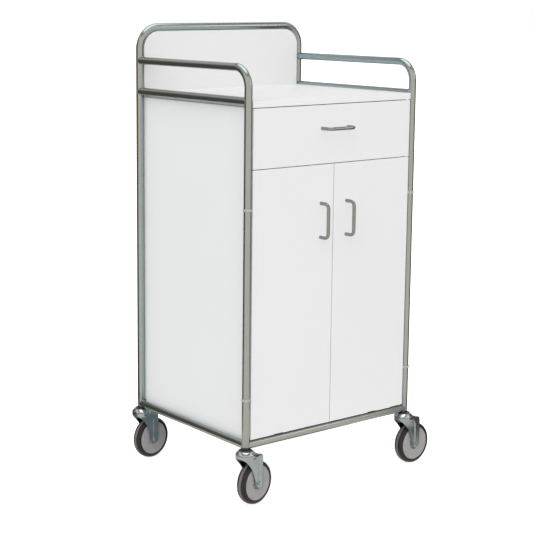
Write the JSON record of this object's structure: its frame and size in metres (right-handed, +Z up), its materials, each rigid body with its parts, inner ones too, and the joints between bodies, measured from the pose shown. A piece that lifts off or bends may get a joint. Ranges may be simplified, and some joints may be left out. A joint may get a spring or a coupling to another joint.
{
  "type": "bedside cabinet",
  "caption": "Ward cabinet on swivel castors: a satin round-tube frame with raised rails and back board round a white case, with a drawer over a pair of doors",
  "frame": {"origin": "on the floor, under the centre of the tube frame (not of the castors, which trail to one side)", "axes": "+Z up, front towards -Y, +X to the right of someone who faces the front"},
  "size_m": [0.7372, 0.5852, 1.3205],
  "materials": {
    "frame_steel": "satin-ground stainless tube",
    "white_laminate": "white melamine-faced board, fine matt texture",
    "drawer_board": "white melamine-faced board",
    "runner_enamel": "white epoxy enamel",
    "handle_steel": "satin stainless rod",
    "hinge_nylon": "natural nylon",
    "screw_steel": "zinc plated",
    "catch_plastic": "white moulded plastic",
    "castor_zinc": "blue-passivated zinc on pressed steel",
    "collar_plastic": "black moulded plastic",
    "hub_plastic": "grey moulded plastic",
    "tyre_rubber": "charcoal rubber"
  },
  "bodies": {
    "cabinet": {"rear_arch": "frame_steel", "front_base_rail": "frame_steel", "rear_base_rail": "frame_steel", "left_side_hoop": "frame_steel", "right_side_hoop": "frame_steel", "left_lower_rail": "frame_steel", "right_lower_rail": "frame_steel", "left_base_rail": "frame_steel", "right_base_rail": "frame_steel", "panel_brackets": "frame_steel", "back_panel": "white_laminate", "bottom_panel": "white_laminate", "divider_panel": "white_laminate", "worktop": "white_laminate", "shelf": "white_laminate", "left_side_panel": "white_laminate", "right_side_panel": "white_laminate", "left_runner_rail": "runner_enamel", "right_runner_rail": "runner_enamel", "bracket_screws": "screw_steel", "shelf_pins": "screw_steel", "magnetic_catches": "catch_plastic", "castor_stems": "castor_zinc", "castor_caps": "castor_zinc", "castor_collars": "collar_plastic"},
    "drawer": {"drawer_front": "white_laminate", "drawer_left_side": "drawer_board", "drawer_right_side": "drawer_board", "drawer_back": "drawer_board", "drawer_bottom": "drawer_board", "drawer_runner_slides": "runner_enamel", "drawer_handle": "handle_steel", "drawer_handle_screws": "screw_steel"},
    "left_door": {"left_door": "white_laminate", "left_door_handle": "handle_steel", "left_door_hinges": "hinge_nylon", "left_door_screws": "screw_steel", "left_strike_plate": "screw_steel"},
    "right_door": {"right_door": "white_laminate", "right_door_handle": "handle_steel", "right_door_hinges": "hinge_nylon", "right_door_screws": "screw_steel", "right_strike_plate": "screw_steel"},
    "front_left_castor": {"front_left_fork": "castor_zinc", "front_left_axle_bolt": "castor_zinc"},
    "front_left_wheel": {"front_left_hub": "hub_plastic", "front_left_tyre": "tyre_rubber"},
    "front_right_castor": {"front_right_fork": "castor_zinc", "front_right_axle_bolt": "castor_zinc"},
    "front_right_wheel": {"front_right_hub": "hub_plastic", "front_right_tyre": "tyre_rubber"},
    "rear_left_castor": {"rear_left_fork": "castor_zinc", "rear_left_axle_bolt": "castor_zinc"},
    "rear_left_wheel": {"rear_left_hub": "hub_plastic", "rear_left_tyre": "tyre_rubber"},
    "rear_right_castor": {"rear_right_fork": "castor_zinc", "rear_right_axle_bolt": "castor_zinc"},
    "rear_right_wheel": {"rear_right_hub": "hub_plastic", "rear_right_tyre": "tyre_rubber"}
  },
  "joints": [
    {"name": "drawer_slide", "type": "slide", "parent": "cabinet", "child": "drawer", "axis": [0, -1, 0], "range_m": [0, 0.34]},
    {"name": "left_door_hinge", "type": "hinge", "parent": "cabinet", "child": "left_door", "pos_m": [-0.3045, -0.2545, 0.57], "axis": [0, 0, -1], "range_deg": [0, 250]},
    {"name": "right_door_hinge", "type": "hinge", "parent": "cabinet", "child": "right_door", "pos_m": [0.3045, -0.2545, 0.57], "axis": [0, 0, 1], "range_deg": [0, 250]},
    {"name": "front_left_swivel", "type": "hinge", "parent": "cabinet", "child": "front_left_castor", "pos_m": [-0.3045, -0.2545, 0.15], "axis": [0, 0, 1], "continuous": true},
    {"name": "front_left_wheel_spin", "type": "hinge", "parent": "front_left_castor", "child": "front_left_wheel", "pos_m": [-0.26757, -0.24799, 0.0625], "axis": [-0.1736, 0.9848, 0], "continuous": true},
    {"name": "front_right_swivel", "type": "hinge", "parent": "cabinet", "child": "front_right_castor", "pos_m": [0.3045, -0.2545, 0.15], "axis": [0, 0, 1], "continuous": true},
    {"name": "front_right_wheel_spin", "type": "hinge", "parent": "front_right_castor", "child": "front_right_wheel", "pos_m": [0.34199, -0.25385, 0.0625], "axis": [-0.0175, 0.9998, 0], "continuous": true},
    {"name": "rear_left_swivel", "type": "hinge", "parent": "cabinet", "child": "rear_left_castor", "pos_m": [-0.3045, 0.2545, 0.15], "axis": [0, 0, 1], "continuous": true},
    {"name": "rear_left_wheel_spin", "type": "hinge", "parent": "rear_left_castor", "child": "rear_left_wheel", "pos_m": [-0.26721, 0.25842, 0.0625], "axis": [-0.1045, 0.9945, 0], "continuous": true},
    {"name": "rear_right_swivel", "type": "hinge", "parent": "cabinet", "child": "rear_right_castor", "pos_m": [0.3045, 0.2545, 0.15], "axis": [0, 0, 1], "continuous": true},
    {"name": "rear_right_wheel_spin", "type": "hinge", "parent": "rear_right_castor", "child": "rear_right_wheel", "pos_m": [0.34191, 0.25712, 0.0625], "axis": [-0.0698, 0.9976, 0], "continuous": true}
  ]
}
